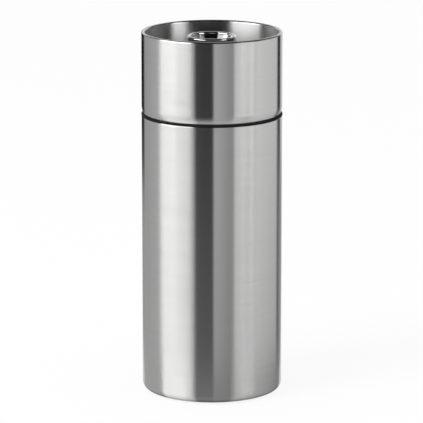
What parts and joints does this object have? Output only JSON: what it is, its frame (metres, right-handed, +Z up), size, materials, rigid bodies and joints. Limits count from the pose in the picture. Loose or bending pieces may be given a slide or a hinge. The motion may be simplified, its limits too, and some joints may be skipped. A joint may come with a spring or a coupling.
{
  "type": "salt grinder",
  "caption": "Cylindrical steel salt grinder: a turning head with a finger recess, a central knob that sets the grind, and a toothed ceramic grinder in the base.",
  "frame": {"origin": "centre of the foot, on the surface that the grinder stands on", "axes": "+Z up along the axis of the cylinder; the grinder is round, so X and Y only fix the arms of the bearing bridge"},
  "size_m": [0.0462, 0.0462, 0.12],
  "materials": {
    "brushed_steel": "brushed around the axis",
    "polished_steel": "polished",
    "plain_steel": "plain turned",
    "black_plastic": "matte black",
    "liner_plastic": "pale satin",
    "ceramic": "unglazed off-white",
    "rubber": "black",
    "brass": "turned"
  },
  "bodies": {
    "body": {"body_shell": "brushed_steel", "grinder_housing": "black_plastic", "stator": "ceramic", "bearing_bridge": "black_plastic", "bridge_screws": "plain_steel", "salt_liner": "liner_plastic", "mouth_collar": "black_plastic"},
    "bush": {"spindle_bush": "brass", "rotor_spring": "plain_steel"},
    "spindle": {"spindle": "plain_steel", "rotor": "ceramic", "rotor_hub": "liner_plastic", "rotor_washer": "plain_steel", "rotor_screw": "plain_steel"},
    "collar": {"glide_ring": "black_plastic", "seal_ring": "rubber"},
    "head": {"head_shell": "brushed_steel", "recess_floor": "black_plastic", "drive_core": "black_plastic", "core_screws": "plain_steel", "collar_clip": "plain_steel"},
    "knob": {"knob": "polished_steel", "knob_cap": "black_plastic", "knob_insert": "brass", "knob_washer": "black_plastic"}
  },
  "joints": [
    {"name": "head_lift", "type": "slide", "parent": "body", "child": "collar", "axis": [0, 0, 1], "range_m": [0, 0.045]},
    {"name": "head_turn", "type": "hinge", "parent": "collar", "child": "head", "pos_m": [0, 0, 0.093], "axis": [0, 0, 1], "continuous": true},
    {"name": "knob_turn", "type": "hinge", "parent": "head", "child": "knob", "pos_m": [0, 0, 0.1065], "axis": [0, 0, -1], "range_deg": [0, 540]},
    {"name": "spindle_turn", "type": "hinge", "parent": "body", "child": "bush", "pos_m": [0, 0, 0.0155], "axis": [0, 0, 1], "continuous": true},
    {"name": "spindle_lift", "type": "slide", "parent": "bush", "child": "spindle", "axis": [0, 0, 1], "range_m": [0, 0.0012], "deforming": ["rotor_spring"]}
  ],
  "couplings": [
    {"joint": "spindle_turn", "follows": "head_turn", "ratio": 1},
    {"joint": "knob_turn", "follows": "spindle_lift", "rad_per_m": 7853.9}
  ]
}
